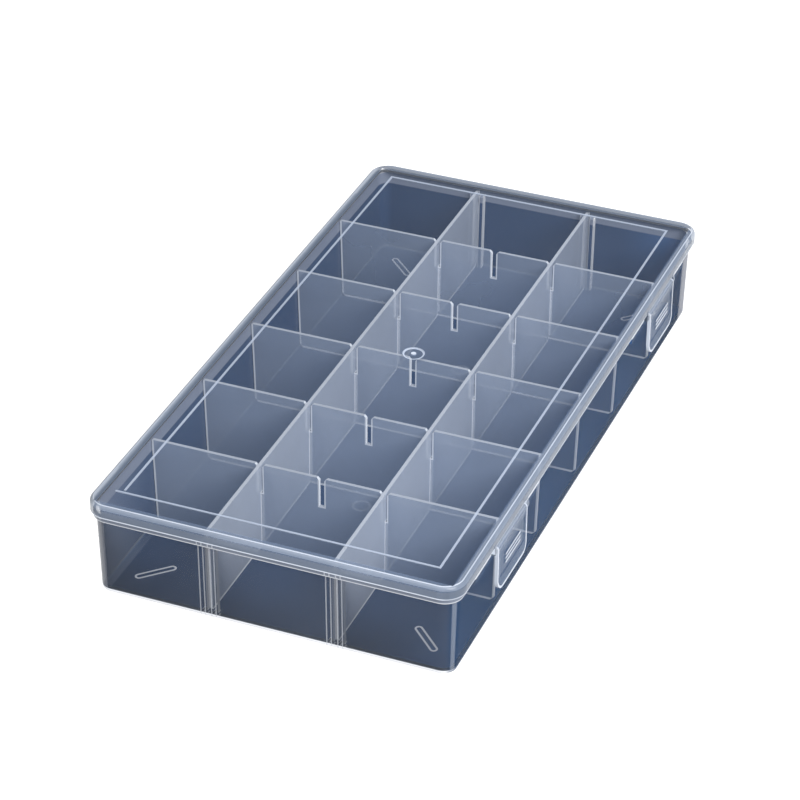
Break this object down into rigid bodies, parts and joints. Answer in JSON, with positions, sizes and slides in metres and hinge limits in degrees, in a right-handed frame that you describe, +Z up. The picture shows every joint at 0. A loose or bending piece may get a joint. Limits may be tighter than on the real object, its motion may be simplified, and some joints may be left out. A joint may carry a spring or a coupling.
{
  "type": "compartment storage box",
  "caption": "Clear flat storage box with a hinged lid, snap latches on one long side, corner feet and a grid of loose interlocking dividers for small parts.",
  "frame": {"origin": "under the middle of the box, on the plane that the feet stand on", "axes": "+X from the hinge side to the latch side, +Y from the front end to the back end, +Z up"},
  "size_m": [0.1261, 0.2368, 0.0344],
  "materials": {
    "clear_shell": "gloss",
    "clear_lid": "gloss",
    "clear_latch": "gloss",
    "hazy_divider": "satin"
  },
  "bodies": {
    "tray": {"tray": "clear_shell", "long_divider_left": "hazy_divider", "long_divider_right": "hazy_divider", "cross_divider_1": "hazy_divider", "cross_divider_2": "hazy_divider", "cross_divider_3": "hazy_divider", "cross_divider_4": "hazy_divider", "cross_divider_5": "hazy_divider"},
    "lid": {"lid": "clear_lid"},
    "latch_front": {"latch_front": "clear_latch"},
    "latch_rear": {"latch_rear": "clear_latch"}
  },
  "joints": [
    {"name": "lid_hinge", "type": "hinge", "parent": "tray", "child": "lid", "pos_m": [-0.06237, 0, 0.0261], "axis": [0, -1, 0], "range_deg": [0, 180]},
    {"name": "latch_front_hinge", "type": "hinge", "parent": "lid", "child": "latch_front", "pos_m": [0.06062, -0.0737, 0.02828], "axis": [0, -1, 0], "range_deg": [0, 110]},
    {"name": "latch_rear_hinge", "type": "hinge", "parent": "lid", "child": "latch_rear", "pos_m": [0.06062, 0.0737, 0.02828], "axis": [0, -1, 0], "range_deg": [0, 110]}
  ]
}
